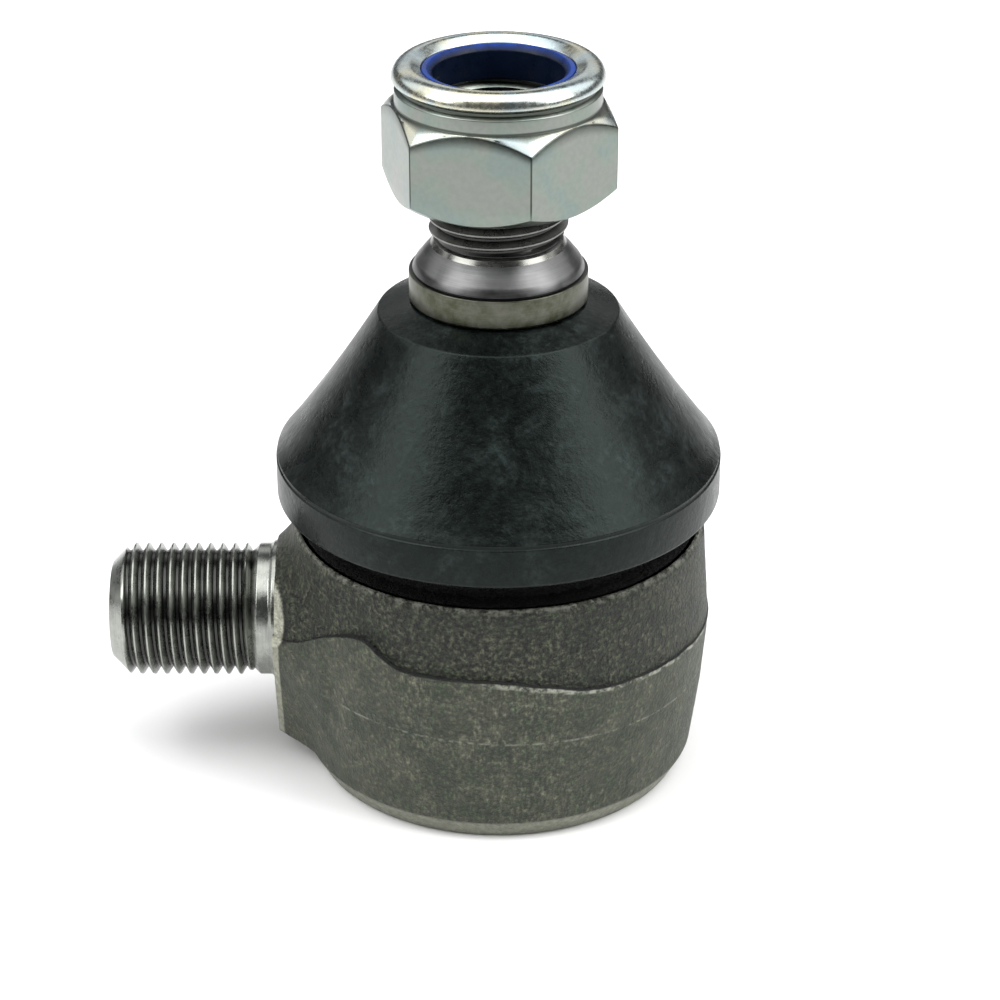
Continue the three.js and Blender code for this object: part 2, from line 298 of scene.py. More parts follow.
def capped(name, points, faces, low, high, low_r, high_r):
    """The thread's points with a flat cap at each end."""
    segments = THREAD_COLUMNS
    angles = circle(segments)
    start = len(points)
    bottom = np.concatenate([ring(low_r, low, angles), [[0, 0, low]]])
    top = np.concatenate([ring(high_r, high, angles), [[0, 0, high]]])
    everything = np.concatenate([points, bottom, top])
    caps = []
    for offset, turn in ((start, -1), (start + segments + 1, 1)):
        for j in range(segments):
            edge = (offset + j, offset + (j + 1) % segments)
            caps.append((*edge[::turn], offset + segments))
    return make_object(name, everything, faces + caps)


# ---------------------------------------------------------------- materials


def material(name, metallic=0.0, **settings):
    made = bpy.data.materials.new(name)
    made.use_nodes = True
    tree = made.node_tree
    shader = tree.nodes["Principled BSDF"]
    shader.inputs["Metallic"].default_value = metallic
    for key, value in settings.items():
        shader.inputs[key.replace("_", " ")].default_value = value
    return made, tree, shader


def node(tree, kind, values=None, **settings):
    made = tree.nodes.new(kind)
    for key, value in settings.items():
        setattr(made, key, value)
    for key, value in (values or {}).items():
        if isinstance(value, bpy.types.NodeSocket):
            tree.links.new(value, made.inputs[key])
        else:
            made.inputs[key].default_value = value
    return made


def place(tree, stretch=(1, 1, 1)):
    """Position on the piece at rest, in millimetres, stretched along each axis."""
    at = tree.nodes.new("ShaderNodeTexCoord").outputs["Object"]
    scale = [1 / (MM * s) for s in stretch]
    return node(tree, "ShaderNodeMapping", {"Vector": at, "Scale": scale}).outputs["Vector"]


def grain(tree, size, detail=3.0, rough=0.6, stretch=(1, 1, 1), twist=0.0):
    """Noise with features of a size in millimetres."""
    values = {"Vector": place(tree, stretch), "Scale": 1 / size, "Detail": detail}
    values.update({"Roughness": rough, "Distortion": twist})
    return node(tree, "ShaderNodeTexNoise", values).outputs["Fac"]


def ramp(tree, factor, stops):
    """Colour or grey level by factor. Stops are (position, colour)."""
    made = node(tree, "ShaderNodeValToRGB", {"Fac": factor})
    elements = made.color_ramp.elements
    while len(elements) < len(stops):
        elements.new(0.5)
    for element, (position, colour) in zip(elements, stops):
        element.position = position
        grey = isinstance(colour, (int, float))
        element.color = (colour, colour, colour, 1) if grey else (*colour, 1)
    return made.outputs["Color"]


def spread(tree, factor, low, high, start=0.3, stop=0.7):
    """Factor from start to stop as a value from low to high."""
    values = {"Value": factor, "From Min": start, "From Max": stop, "To Min": low, "To Max": high}
    return node(tree, "ShaderNodeMapRange", values).outputs["Result"]


def mix(tree, factor, a, b, how="MIX"):
    made = node(tree, "ShaderNodeMix", data_type="RGBA", blend_type=how)
    for slot, value in ((0, factor), (6, a), (7, b)):
        if isinstance(value, bpy.types.NodeSocket):
            tree.links.new(value, made.inputs[slot])
        elif slot == 0:
            made.inputs[slot].default_value = value
        else:
            made.inputs[slot].default_value = (*value, 1)
    return made.outputs[2]


def mark(tree, name):
    """A value painted on the mesh's points."""
    return node(tree, "ShaderNodeAttribute", attribute_name=name).outputs["Fac"]


def times(tree, a, b):
    values = {0: a, 1: b}
    return node(tree, "ShaderNodeMath", values, operation="MULTIPLY").outputs[0]


def bump(tree, shader, layers):
    """Bumps from (height, depth in millimetres) layers, one on top of the other."""
    normal = None
    for height, depth in layers:
        values = {"Height": height, "Distance": depth * MM, "Strength": 1.0}
        if normal:
            values["Normal"] = normal
        normal = node(tree, "ShaderNodeBump", values).outputs["Normal"]
    tree.links.new(normal, shader.inputs["Normal"])


def finish_with(tree, shader, colour, roughness):
    tree.links.new(colour, shader.inputs["Base Color"])
    tree.links.new(roughness, shader.inputs["Roughness"])


def forging_material():
    """Scaled forged steel: speckled above the flash line, sheared in faint streaks below it."""
    made, tree, shader = material("forged_steel", metallic=0.3)
    patch = grain(tree, 4.0, 5.0, 0.7)
    tint = grain(tree, 0.9, 3.0, 0.7, twist=0.5)
    speck = grain(tree, 0.5, 3.0, 0.65)
    streak = grain(tree, 0.4, 4.0, 0.75, stretch=(1, 1, 3.5), twist=0.3)
    tone = ramp(tree, patch, [(0.38, (0.031, 0.038, 0.026)), (0.5, (0.046, 0.052, 0.036)),
                              (0.62, (0.066, 0.069, 0.05))])
    cast = ramp(tree, tint, [(0.38, (0.78, 0.95, 0.74)), (0.5, (1.0, 1.0, 1.0)),
                             (0.62, (1.2, 1.12, 1.05))])
    tone = mix(tree, 0.8, tone, cast, "MULTIPLY")
    pitted = ramp(tree, speck, [(0.38, 0.05), (0.46, 0.52), (0.54, 1.05), (0.64, 2.7)])
    # The upper wall is darker for its forge scale and, in part, as painted shade under the boot's
    # skirt.
    dim = mix(tree, 1.0, tone, (0.6, 0.6, 0.58), "MULTIPLY")
    pits = mix(tree, 0.95, dim, pitted, "MULTIPLY")
    scraped = ramp(tree, streak, [(0.38, 0.45), (0.5, 0.98), (0.62, 1.85)])
    zone = spread(tree, grain(tree, 8.0, 2.0, 0.5), 0.15, 0.75, 0.4, 0.6)
    sheared = mix(tree, zone, tone, scraped, "MULTIPLY")
    sheared = mix(tree, 0.5, sheared, pitted, "MULTIPLY")
    colour = mix(tree, mark(tree, "upper"), sheared, pits)
    # Painted shade: near black where the mesh is marked line, in the flash step, beside the boss's
    # cut, at the lip and in the gap under the boot.
    colour = mix(tree, times(tree, mark(tree, "line"), 0.95), colour, (0.004, 0.005, 0.004))
    broken = spread(tree, grain(tree, 1.2, 3.0, 0.75), 0.0, 0.95, 0.44, 0.6)
    colour = mix(tree, times(tree, mark(tree, "glint"), broken), colour, (0.36, 0.37, 0.31))
    bared = grain(tree, 0.7, 4.0, 0.7)
    cut = ramp(tree, bared, [(0.38, (0.4, 0.4, 0.32)), (0.62, (0.68, 0.68, 0.56))])
    colour = mix(tree, mark(tree, "machined"), colour, cut)
    finish_with(tree, shader, colour, spread(tree, speck, 0.4, 0.66, 0.4, 0.6))
    fine = times(tree, speck, spread(tree, mark(tree, "upper"), 0.4, 1.0, 0, 1))
    bump(tree, shader, [(patch, 0.35), (fine, 0.55), (streak, 0.16)])
    return made


def machined_material(name, low, high, rough, axis=2, depth=0.008):
    """Turned steel with tool marks round the part's axis, faint stains, and painted shade in any
    thread and wherever else a piece is marked.
    """
    made, tree, shader = material(name, metallic=1.0)
    stretch = [60, 60, 60]
    stretch[axis] = 1
    marks = grain(tree, 0.09, 2.0, 0.6, stretch=stretch)
    stain = grain(tree, 2.2, 4.0, 0.65)
    colour = ramp(tree, stain, [(0.35, low), (0.65, high)])
    colour = mix(tree, 0.3, colour, ramp(tree, marks, [(0.38, 0.75), (0.62, 1.25)]), "MULTIPLY")
    # Painted shade: darkened to near black where the piece is marked, in thread roots and other
    # hollows.
    shade_amount = spread(tree, mark(tree, "painted_shade"), 0.0, 0.9, 0.2, 0.85)
    colour = mix(tree, shade_amount, colour, (0.018, 0.019, 0.018))
    finish_with(tree, shader, colour, spread(tree, stain, rough - 0.04, rough + 0.06, 0.4, 0.6))
    bump(tree, shader, [(marks, depth), (stain, depth)])
    return made


def zinc_material():
    """Bright zinc plate: satin flats, a polished crown, painted shade on edges and in creases, and a
    faint cast in patches.
    """
    made, tree, shader = material("zinc_plate", metallic=1.0)
    cast = grain(tree, 5.0, 2.0, 0.5, twist=0.6)
    frost = grain(tree, 0.6, 2.0, 0.5)
    satin = ramp(tree, cast, [(0.38, (0.183, 0.222, 0.208)), (0.5, (0.2, 0.231, 0.203)),
                              (0.62, (0.213, 0.226, 0.207))])
    satin = mix(tree, 0.3, satin, ramp(tree, frost, [(0.38, 0.85), (0.62, 1.15)]), "MULTIPLY")
    bright = ramp(tree, cast, [(0.38, (0.4, 0.47, 0.49)), (0.5, (0.47, 0.51, 0.48)),
                               (0.6, (0.54, 0.53, 0.42))])
    colour = mix(tree, mark(tree, "crown"), satin, bright)
    # Painted shade: edges and creases marked edge are darkened.
    colour = mix(tree, times(tree, mark(tree, "edge"), 0.9), colour, (0.04, 0.044, 0.036))
    satin_rough = spread(tree, frost, 0.29, 0.34, 0.4, 0.6)
    rough = mix(tree, mark(tree, "crown"), satin_rough, spread(tree, frost, 0.22, 0.29, 0.4, 0.6))
    finish_with(tree, shader, colour, rough)
    bump(tree, shader, [(grain(tree, 3.0, 3.0, 0.5), 0.03), (frost, 0.002)])
    return made


def rubber_material():
    """Moulded rubber with a dusty grey-green bloom."""
    made, tree, shader = material("moulded_rubber", Specular_IOR_Level=0.17,
                                  Specular_Tint=(0.8, 1.0, 0.93, 1))
    bloom = grain(tree, 6.0, 5.0, 0.7, twist=0.4)
    fleck = grain(tree, 0.8, 4.0, 0.75)
    colour = ramp(tree, bloom, [(0.38, (0.001, 0.0016, 0.0015)), (0.52, (0.0022, 0.0032, 0.0029)),
                                (0.66, (0.008, 0.011, 0.0105))])
    colour = mix(tree, 0.85, colour, ramp(tree, fleck, [(0.38, 0.3), (0.62, 2.4)]), "MULTIPLY")
    # Painted shade in the thin groove on the boot's edge, where the line mark is set.
    colour = mix(tree, times(tree, mark(tree, "line"), 0.8), colour, (0.002, 0.0025, 0.0025))
    finish_with(tree, shader, colour, spread(tree, bloom, 0.26, 0.35, 0.4, 0.6))
    bump(tree, shader, [(bloom, 0.12), (fleck, 0.05)])
    return made


def nylon_material():
    """Blue nylon, with painted shade darkening its bore deep inside the nut."""
    made, tree, shader = material("blue_nylon", Specular_IOR_Level=0.15)
    swirl = grain(tree, 1.8, 3.0, 0.5)
    colour = ramp(tree, swirl, [(0.38, (0.001, 0.018, 0.12)), (0.62, (0.002, 0.032, 0.22))])
    # Painted shade: the bore, marked wall, darkened to near black.
    colour = mix(tree, times(tree, mark(tree, "wall"), 0.97), colour, (0.003, 0.006, 0.014))
    finish_with(tree, shader, colour, spread(tree, swirl, 0.26, 0.4, 0.4, 0.6))
    bump(tree, shader, [(grain(tree, 0.4, 3.0, 0.6), 0.02)])
    return made


def seat_material():
    made, tree, shader = material("seat_acetal")
    swirl = grain(tree, 2.5, 3.0, 0.5)
    colour = ramp(tree, swirl, [(0.3, (0.62, 0.6, 0.52)), (0.7, (0.75, 0.73, 0.65))])
    finish_with(tree, shader, colour, spread(tree, swirl, 0.38, 0.5))
    bump(tree, shader, [(swirl, 0.03)])
    return made


def floor_material():
    made, tree, shader = material("studio_paper")
    fibre = grain(tree, 60.0, 4.0, 0.6)
    colour = ramp(tree, fibre, [(0.3, 0.86), (0.7, 0.89)])
    finish_with(tree, shader, colour, spread(tree, fibre, 0.7, 0.8))
    return made


forged = forging_material()
shank_steel = machined_material("shank_steel", (0.24, 0.25, 0.23), (0.36, 0.37, 0.34), 0.28, axis=0)
stud_steel = machined_material("stud_steel", (0.118, 0.118, 0.12), (0.145, 0.145, 0.145), 0.34,
                               depth=0.002)
fillet_steel = machined_material("fillet_steel", (0.17, 0.17, 0.16), (0.24, 0.24, 0.22), 0.22,
                                 depth=0.001)
collar_steel = machined_material("collar_steel", (0.055, 0.06, 0.038), (0.125, 0.125, 0.105), 0.36)
thread_steel = machined_material("thread_steel", (0.12, 0.12, 0.115), (0.22, 0.22, 0.21), 0.3)
plate_steel = machined_material("plate_steel", (0.25, 0.26, 0.23), (0.36, 0.36, 0.32), 0.4)
spring_steel = machined_material("spring_steel", (0.16, 0.165, 0.175), (0.28, 0.28, 0.29), 0.35)
zinc = zinc_material()
rubber = rubber_material()
nylon = nylon_material()
acetal = seat_material()


# ---------------------------------------------------------------- housing

# Height of the flash line by the angle from the shank, in degrees: it dips to the shank's
# axis on the boss and humps up beside it.
FLASH_ANGLES = (0, 24, 30, 36, 46, 51, 56, 60, 65, 90, 103, 115, 150, 180)
FLASH_HEIGHTS = (18.4, 19.5, 21.2, 22.8, 24.8, 25.4, 24.7, 23.3, 22.7, 22.8, 21.8, 20.4, 19.9, 19.2)


def beside_shank(angles):
    """Angle from the shank's direction, from minus to plus half a turn."""
    return angles % TURN - math.pi


def from_shank(angles):
    """Angle in degrees from the shank's direction, the same on both sides of it."""
    return np.degrees(np.abs(beside_shank(angles)))


def flash_line(angles):
    """Height of the flash line, with its corners eased and its edge ragged."""
    off = from_shank(angles)
    spots = [np.interp(np.clip(off + d, 0, 180), FLASH_ANGLES, FLASH_HEIGHTS) for d in (-3, -1, 1, 3)]
    around = ring(BODY_R, 0.0, angles)
    ragged = 0.16 * roughness_at(around, 3.0, 2) + 0.07 * roughness_at(around, 0.6, 2)
    return np.mean(spots, 0) + ragged


def boss_radius(angles, heights):
    """Distance from Z to the boss: a round with a keel below it, flared 45 degrees to the body.

    It is found by halving the interval in which the surface must lie, at every point at once.
    """
    face_r, keel_r, drop, flare = 8.9, 0.5, 21.5, 6.4
    bottom, top = 2.9, 30.9
    off = beside_shank(angles)
    lean = (face_r - keel_r) / drop
    upright = math.sqrt(1 - lean * lean)
    shape = np.broadcast(off, heights).shape
    near, far = np.zeros(shape), np.full(shape, 40.0)
    down = BALL_Z - heights
    for _ in range(30):
        r = (near + far) / 2
        across, depth = np.abs(r * np.sin(off)), -BOSS_X - r * np.cos(off)
        along = -lean * across + upright * down
        side = upright * across + lean * down - face_r
        outside = np.where(along < 0, np.hypot(across, down) - face_r, side)
        outside = np.where(along > upright * drop, np.hypot(across, down - drop) - keel_r, outside)
        inside = (outside <= np.minimum(depth, flare)) & (depth >= 0)
        near, far = np.where(inside, r, near), np.where(inside, far, r)
    present = (np.abs(off) < math.pi / 2) & (heights > bottom) & (heights < top)
    return np.where(present, near, 0)


def boss_marks(depth, height):
    """Bright cut metal and painted shadow on the step beside it, by depth behind the boss's flat
    face.

    The cut is a lens beside the shank and a thin strip down the keel.
    """
    lens_z, half_height, width = 21.6, 3.6, 1.5
    lens = width * np.sqrt(np.clip(1 - ((height - lens_z) / half_height) ** 2, 0, 1))
    faced = smooth_step(lens + 0.15, lens - 0.15, depth) * (lens > 0)
    keel = 0.5 * smooth_step(0.85, 0.65, depth) * smooth_step(24.8, 22.0, height)
    # Painted shadow on the step beside the cut.
    step = smooth_step(lens, lens + 0.15, depth) * smooth_step(lens + 0.7, lens + 0.4, depth)
    step = step * smooth_step(25.0, 24.2, height) * smooth_step(18.6, 19.4, height)
    return np.maximum(0.75 * faced, keel), 0.85 * step


def body_angles():
    """Angles round the body, set closest where the sides of the boss run nearly along them."""
    half = np.concatenate([np.linspace(0, 10, 17), np.linspace(10, 34, 121)[1:],
                           np.linspace(34, 180, 147)[1:]])
    return math.pi + np.radians(np.concatenate([half, -half[-2:0:-1]]))


def housing_body():
    """The forging as one ring-shaped surface, with its outer wall fitted to the flash line."""
    angles = body_angles()
    flash = flash_line(angles)
    glint = 14.3 - 0.75 * np.cos(angles)  # height of the broken bright line on the lower wall
    upper_inset, upper_draft, boss_inset, root_fillet = 0.35, 0.065, 0.3, 0.9
    rows, marks = [], {"upper": [], "line": [], "glint": [], "machined": []}

    def add(radius, height, **painted):
        rows.append(ring(radius, height, angles))
        for key, values in marks.items():
            values.append(np.broadcast_to(painted.get(key, 0.0), angles.shape))

    def wall(height, upper=0.0, **painted):
        """A row of the outer wall, which is set in and leans back above the flash line."""
        low = np.interp(height, (RIM_Z, 11.0, 20.6), (BODY_R - 1.9, BODY_R - 0.8, BODY_R))
        high = BODY_R - upper_inset - upper_draft * (height - 21.2)
        body = np.minimum(high, low) if upper else low
        boss = boss_radius(angles, height) - (boss_inset if upper else 0)
        radius = smooth_max(body, boss, root_fillet)
        points = ring(radius, height, angles)
        rough = 0.07 if upper else 0.035
        radius = radius + rough * roughness_at(points, 2.4) * smooth_step(RIM_Z, 5, height)
        machined, step = boss_marks(points[:, 0] - BOSS_X, points[:, 2])
        # line carries painted shade, here joined by the painted shadow of the step beside the boss's
        # cut.
        line = np.maximum(painted.pop("line", 0.0) * (1 - machined), step)
        add(radius, height, upper=upper, machined=machined, line=line, **painted)

    def walls(low, high, steps, **painted):
        """Rows of the outer wall, evenly spaced from one height to another."""
        for t in np.linspace(0, 1, steps):
            wall(low + t * (high - low), **painted)

    lip_r, lip_z, ledge_z = 18.8, 1.1, 3.5
    rolled_lip = rounded([(lip_r, lip_z), (lip_r, 0, 0.3), (22.2, 0, 0.6),
                          (BODY_R - 2.05, RIM_Z - 0.35)])
    for r, z in rolled_lip:
        add(r, z, machined=0.3)
    # Painted contact shadow along the edge between the lip and the body.
    add(BODY_R - 1.95, RIM_Z - 0.1, machined=0.2, line=0.6)
    walls(np.full(len(angles), RIM_Z), glint - 0.2, 44)
    wall(glint, glint=0.5 * smooth_step(30, 50, from_shank(angles)))
    low, high = glint + 0.2, flash - 0.12
    for t in np.linspace(0, 1, 24):
        bright = 0.9 * (t > 0.93) * smooth_step(80, 95, from_shank(angles))
        wall(low + t * (high - low), glint=bright)
    # Painted shadow in the step along the flash line.
    wall(flash, line=1.0)
    wall(flash + 0.1, upper=1.0, line=1.0)
    walls(flash + 0.22, SHOULDER_Z - 0.7, 34, upper=1.0)
    shoulder = rounded([(BODY_R - 1.1, SHOULDER_Z - 0.5), (BODY_R - 1.35, SHOULDER_Z, 0.3),
                        (SHOULDER_FLAT_R, SHOULDER_Z)])
    for r, z in shoulder[1:-1]:
        add(r, z, upper=1.0, glint=0.5)
    # Painted shade on the shoulder's inner flat, in the gap under the boot.
    add(BODY_R - 2.0, SHOULDER_Z, upper=1.0, line=0.7)
    groove_r = NECK_R - 0.9
    throat = (12.6, 28.75)
    neck = rounded([(SHOULDER_FLAT_R, SHOULDER_Z), (NECK_R, SHOULDER_Z, 0.4), (NECK_R, 35.7),
                    (groove_r, 36.2), (groove_r, 37.7), (NECK_R, 38.2), (NECK_R, NECK_TOP_Z, 0.4),
                    (16.7, NECK_TOP_Z, 0.3), throat])
    # Painted shade over the whole neck, in the dark gap under the boot's skirt.
    for r, z in neck[:-1]:
        add(r, z, upper=1.0, line=1.0)
    throat_angle = 39.4
    bore = [*arc(0, BALL_Z, BORE_R, throat_angle, 0, 12), (BORE_R, ledge_z)]
    seal_groove = [(18.2, ledge_z), (18.2, 5.1), (20.2, 5.1), (20.2, ledge_z)]
    plate_seat = [(21.3, ledge_z), (21.3, lip_z)]
    for r, z in bore + seal_groove + plate_seat:
        add(r, z)
    painted = {key: np.concatenate(values) for key, values in marks.items()}
    made = loft("housing_forging", rows, closed=True, marks=painted)
    made.data.materials.append(forged)
    return made


def shank():
    """The threaded shank: plain land, thread and chamfered end, buried in the boss."""
    start, root_r = 25.5, 8.35
    points, faces = thread_points(LAND_END, SHANK_END, ROOT_R, END_R, SHANK_PHASE)
    thread = capped("shank_thread", points, faces, LAND_END, SHANK_END, ROOT_R, END_R)
    land_outline = rounded([(0, start), (root_r, start), (root_r, 27.1, 0.2), (CREST_R, 27.5, 0.3),
                            (CREST_R, LAND_END - 0.5, 0.2), (ROOT_R, LAND_END + 0.4),
                            (0, LAND_END + 0.4)])
    land = turned("shank_land", land_outline, SMALL_COLUMNS)
    made = joined("shank", [thread, land])
    # Painted shade in the thread's roots.
    paint(made, "painted_shade", lambda p: 0.85 * thread_depth(p, LAND_END + 0.3, SHANK_END))
    x, y, z = np.array([v.co for v in made.data.vertices]).T
    laid_down = np.stack([-z, y, x + BALL_Z * MM], 1)
    made.data.vertices.foreach_set("co", laid_down.ravel())
    made.data.materials.append(shank_steel)
    return made


# ---------------------------------------------------------------- other pieces


def stud_painted_shade(points):
    """Painted shade in the stud's thread roots, in its undercut below the nut, in the groove between
    collar and cone, and on its end inside the nut.
    """
    z = points[:, 2]
    above_collar, above_cone = z - COLLAR_HIGH, z - CONE_TOP
    groove = smooth_step(-0.02, 0.04, above_collar) * smooth_step(0.32, 0.22, above_collar)
    undercut = 0.8 * smooth_step(0.5, 0.65, above_cone) * (z < STUD_THREAD_Z)
    end = smooth_step(stud_high[2] - 4, stud_high[2] - 3, z)
    thread = 0.8 * thread_depth(points, STUD_THREAD_Z, stud_high[2])
    return np.max([thread, groove, undercut, end], 0)


def stud():
    """The whole ball stud, with its thread."""
    flat_r, neck_r = 2.8, 6.9
    flat_angle = -math.degrees(math.acos(flat_r / BALL_R))
    neck_angle = math.degrees(math.acos(neck_r / BALL_R))
    collar_z, core_z = COLLAR_LOW - 0.3, STUD_THREAD_Z - 0.7
    outline = [(0, stud_low[2]), *arc(0, BALL_Z, BALL_R, flat_angle, neck_angle, 40)]
    outline += rounded([(neck_r, 31), (neck_r, 41, 4), (SEAL_R, 51, 4), (SEAL_R, collar_z),
                        (COLLAR_R, collar_z, 0.35), (COLLAR_R, COLLAR_HIGH, 0.15),
                        (COLLAR_R - 0.6, COLLAR_HIGH + 0.06, 0.05), *CONE,
                        (7.46, CONE_TOP + 0.55, 0.1), (ROOT_R, CONE_TOP + 0.8, 0.1),
                        (ROOT_R, core_z)])
    outline.append((0, core_z))
    lower = turned("stud_lower", outline, LARGE_COLUMNS)
    top = stud_high[2]
    low = STUD_THREAD_Z - 0.9
    points, faces = thread_points(low, top, ROOT_R, END_R)
    thread = capped("stud_thread", points, faces, low, top, ROOT_R, END_R)
    made = joined("stud", [lower, thread])
    # Painted shade in the stud's thread, undercut, collar groove and end.
    paint(made, "painted_shade", stud_painted_shade)
    for finish in (stud_steel, collar_steel, thread_steel, fillet_steel):
        made.data.materials.append(finish)
    collar_slot, thread_slot, fillet_slot = 1, 2, 3  # the cone keeps slot 0
    for face in made.data.polygons:
        height = face.center.z / MM
        out = math.hypot(face.center.x, face.center.y) / MM
        if height < COLLAR_HIGH + 0.05:
            face.material_index = collar_slot
        elif height > CONE_TOP + 0.6 and out < CREST_R + 0.1:
            face.material_index = thread_slot
        elif height > CONE_TOP:
            face.material_index = fillet_slot
    return made


def boot_outline():
    """Section of the boot, and the lowest and highest point of the line on its edge."""
    foot_z, foot_r = boot_low[2], boot_high[0]
    edge_z, cone_r = BOOT_EDGE_Z, foot_r - 0.12
    top_r, top_z = 14.0, 58.2
    wall, sag = 2.0, 0.35
    lip_r, lip_z = SEAL_R + 0.15, BOOT_LIP_Z
    grip_r = NECK_R + 0.3
    groove_r = grip_r - 0.9
    band_in, band_out, band_top = 22.9, 24.9, 39.2

    def cone(t, offset=0.0):
        """A point of the slightly hollow cone, or of the line an offset inside it."""
        r = cone_r + (top_r - cone_r) * t
        return r - offset - sag * math.sin(math.pi * t), edge_z + (top_z - edge_z) * t

    foot = [(band_out, foot_z), (foot_r, foot_z, 0.5), (foot_r, edge_z - 0.45, 0.15)]
    line = [(foot_r - 0.17, edge_z - 0.3), (foot_r - 0.17, edge_z), (cone_r, edge_z + 0.15, 0.1)]
    outside = [cone(t) for t in np.linspace(0.05, 0.96, 36)]
    top = [(top_r, top_z, 0.5), (lip_r + 1.2, COLLAR_LOW - 0.55, 0.4), (lip_r, COLLAR_LOW - 0.6),
           (lip_r, lip_z, 0.3)]
    inside = [cone(t, wall) for t in np.linspace(0.8, 0.0, 24)]
    grip = [(grip_r, 39.6), (grip_r, 38.3), (groove_r, 37.6), (groove_r, 36.3), (grip_r, 35.8),
            (grip_r, foot_z, 0.2)]
    slot = [(band_in, foot_z), (band_in, band_top), (band_out, band_top)]
    outline = foot + line + outside + top + inside + grip + slot
    return rounded(outline), (edge_z - 0.35, edge_z + 0.05)


def dust_boot():
    """The boot as one closed ring, with painted shade marked in the thin groove on its edge."""
    outline, (line_low, line_high) = boot_outline()
    angles = circle(LARGE_COLUMNS)
    rows = [ring(r, z, angles) for r, z in outline]
    on_line = [float(r > 25 and line_low < z < line_high) for r, z in outline]
    line = [np.full(len(angles), value) for value in on_line]
    whole = loft("boot_whole", rows, closed=True, marks={"line": np.concatenate(line)})
    whole.data.materials.append(rubber)
    return whole


def nut_columns():
    """Angle, radius and edge mark of each column round the hexagon, whose edges are rounded."""
    edge = 0.24
    reach = (FLATS_R - edge) / math.cos(math.pi / 6)
    half_flat = (FLATS_R - edge) * math.tan(math.pi / 6)
    angles, radii, edges = [], [], []
    for flat in range(6):
        middle = math.radians(NUT_TURN - 60 + 60 * flat)
        for across in np.linspace(-half_flat, half_flat, 30):
            angles.append(middle + math.atan2(across, FLATS_R))
            radii.append(math.hypot(across, FLATS_R))
            edges.append(False)
        for bend in np.radians(np.linspace(-30, 30, 9)[1:-1]):
            x, y = reach + edge * math.cos(bend), edge * math.sin(bend)
            angles.append(middle + math.pi / 6 + math.atan2(y, x))
            radii.append(math.hypot(x, y))
            edges.append(True)
    return np.array(angles), np.array(radii), np.array(edges, float)


def lock_nut():
    """Hexagon and crimped crown, with the arcs where chamfers and flats meet.

    The heights of a chamfer's edge follow the radius, so that each flat ends in an arc.
    """
    angles, flats, edges = nut_columns()
    low, top = nut_low[2], nut_high[2]
    hex_top, ease, chamfer_r = 83.3, 0.35, 11.8
    low_rise, low_reach = 1.55, 2.06
    high_rise, high_reach = 1.75, 1.9
    rows, edge_shade, polished = [], [], []

    def add(radius, height, edge=0.0, crown=0.0):
        rows.append(ring(radius, height, angles))
        edge_shade.append(np.broadcast_to(edge, angles.shape))
        polished.append(np.broadcast_to(crown, angles.shape))

    for r, z in [(SLEEVE_R, hex_top - 0.3), (SLEEVE_R, low + 0.9), (9.2, low), (11.6, low)]:
        add(r, z)
    add(chamfer_r, low + 0.05)
    lower = low + low_rise * (flats - chamfer_r) / low_reach
    upper = hex_top - high_rise * (flats - CROWN_R + 0.12) / high_reach
    add(flats - ease, lower - 0.7 * ease)
    add(flats - 0.06, lower - 0.03)
    # Painted shade along the hex's rounded corners and where flats meet chamfers, carried by the edge
    # mark.
    add(flats, lower + 0.12, 0.5 * edges)
    for t in np.linspace(0, 1, 8)[1:-1]:
        add(flats, lower + (upper - lower) * t, edges)
    add(flats, upper - 0.12, np.maximum(edges, 0.5))
    add(flats - 0.07, upper + 0.03, 0.9)
    add(flats - 0.2, upper + 0.17, 0.0, crown=0.8)
    add(flats - 0.5 * (flats - 11.9), upper + 0.62 * (hex_top - upper), crown=0.8)
    wall_r, waist_r, bend = 11.74, 11.28, 1.72
    crown = [(11.9, hex_top + 0.02), (wall_r, hex_top + 0.1, 0.08), (wall_r, hex_top + 0.28),
             (wall_r, hex_top + 0.4), (wall_r, 85.05, 0.2)]
    crown += [(waist_r, 85.4, 0.12), (waist_r, 85.75, 0.12), (11.8, 86.1, 0.1)]
    crown += arc(CROWN_R + 0.1 - bend, top - bend, bend, 0, 90, 14)
    crown += [(9.9, top, 0.9), (8.7, 87.25, 0.2), (8.7, 87.0), (10.4, 87.0)]
    crown += [(10.4, hex_top - 0.3), (SLEEVE_R, hex_top - 0.3)]
    for r, z in rounded(crown)[:-1]:
        # Painted shade in the hollow under the crown's wall and in its groove.
        hollow = z < hex_top + 0.3 or 85.2 < z < 85.95
        add(r, z, 0.9 * (r > 11 and hollow), crown=float(z > 86))
    marks = {"edge": np.concatenate(edge_shade), "crown": np.concatenate(polished)}
    shell = loft("nut_shell", rows, closed=True, sharp=28, marks=marks)
    shell.data.materials.append(zinc)
    return shell


def nut_thread():
    """Sleeve of the nut's inner thread, set in the bore of its shell."""
    low, high = nut_low[2] + 0.25, 82.9
    inner, outer = SLEEVE_R - 0.05, SLEEVE_R + 0.02
    segments = THREAD_COLUMNS
    points, faces = thread_points(low, high, inner, inner, play=0.25, inner=True)
    angles = circle(segments)
    start = len(points)
    ends = [ring(r, z, angles) for r in (outer, inner) for z in (low, high)]
    points = np.concatenate([points, *ends])
    for a, b in ((0, 1), (0, 2), (1, 3)):
        for j in range(segments):
            k = (j + 1) % segments
            first, second = start + a * segments, start + b * segments
            faces.append((first + j, first + k, second + k, second + j))
    made = make_object("nut_thread", points, faces)
    made.data.materials.append(zinc)
    return made


